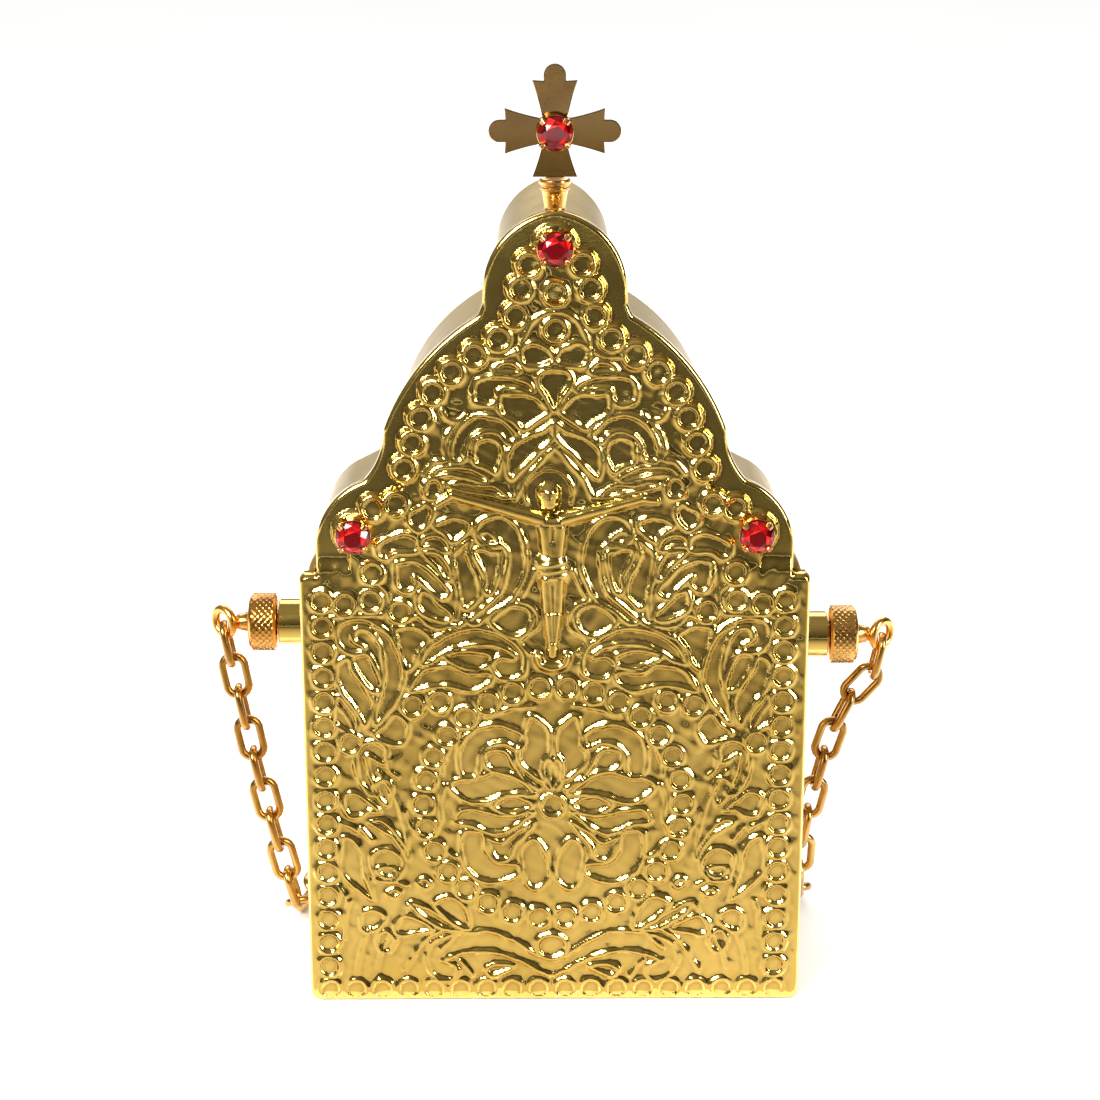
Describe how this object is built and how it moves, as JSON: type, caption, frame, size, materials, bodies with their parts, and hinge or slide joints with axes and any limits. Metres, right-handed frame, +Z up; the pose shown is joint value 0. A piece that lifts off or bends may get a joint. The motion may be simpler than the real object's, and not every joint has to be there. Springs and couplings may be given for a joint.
{
  "type": "pyx",
  "caption": "Small gabled gilt brass case on a chain, with a stamped lift-off front, claw-set red stones and a cross on top.",
  "frame": {"origin": "middle of the case's underside, half-way from the front field of the cover to the back of the case", "axes": "+Z up to the cross, -Y out of the stamped front, +X to the viewer's right"},
  "size_m": [0.1038, 0.056, 0.1366],
  "materials": {
    "stamped_gilt_brass": "bright gilt, pressed relief",
    "plain_gilt_brass": "pale gilt, smooth",
    "sheet_gilt_brass": "dark gilt, polished",
    "turned_gilt_brass": "coppery gilt, turned",
    "cut_red_glass": "faceted"
  },
  "bodies": {
    "root": {"case_body": "plain_gilt_brass", "front_cover": "stamped_gilt_brass", "collar_left": "stamped_gilt_brass", "collar_right": "stamped_gilt_brass", "side_screw_left": "turned_gilt_brass", "side_screw_right": "turned_gilt_brass", "neck_chain": "turned_gilt_brass", "cross": "sheet_gilt_brass", "cross_cup": "turned_gilt_brass", "setting_cross": "turned_gilt_brass", "setting_left": "turned_gilt_brass", "setting_right": "turned_gilt_brass", "setting_top": "turned_gilt_brass", "stone_cross": "cut_red_glass", "stone_left": "cut_red_glass", "stone_right": "cut_red_glass", "stone_top": "cut_red_glass"}
  },
  "joints": []
}
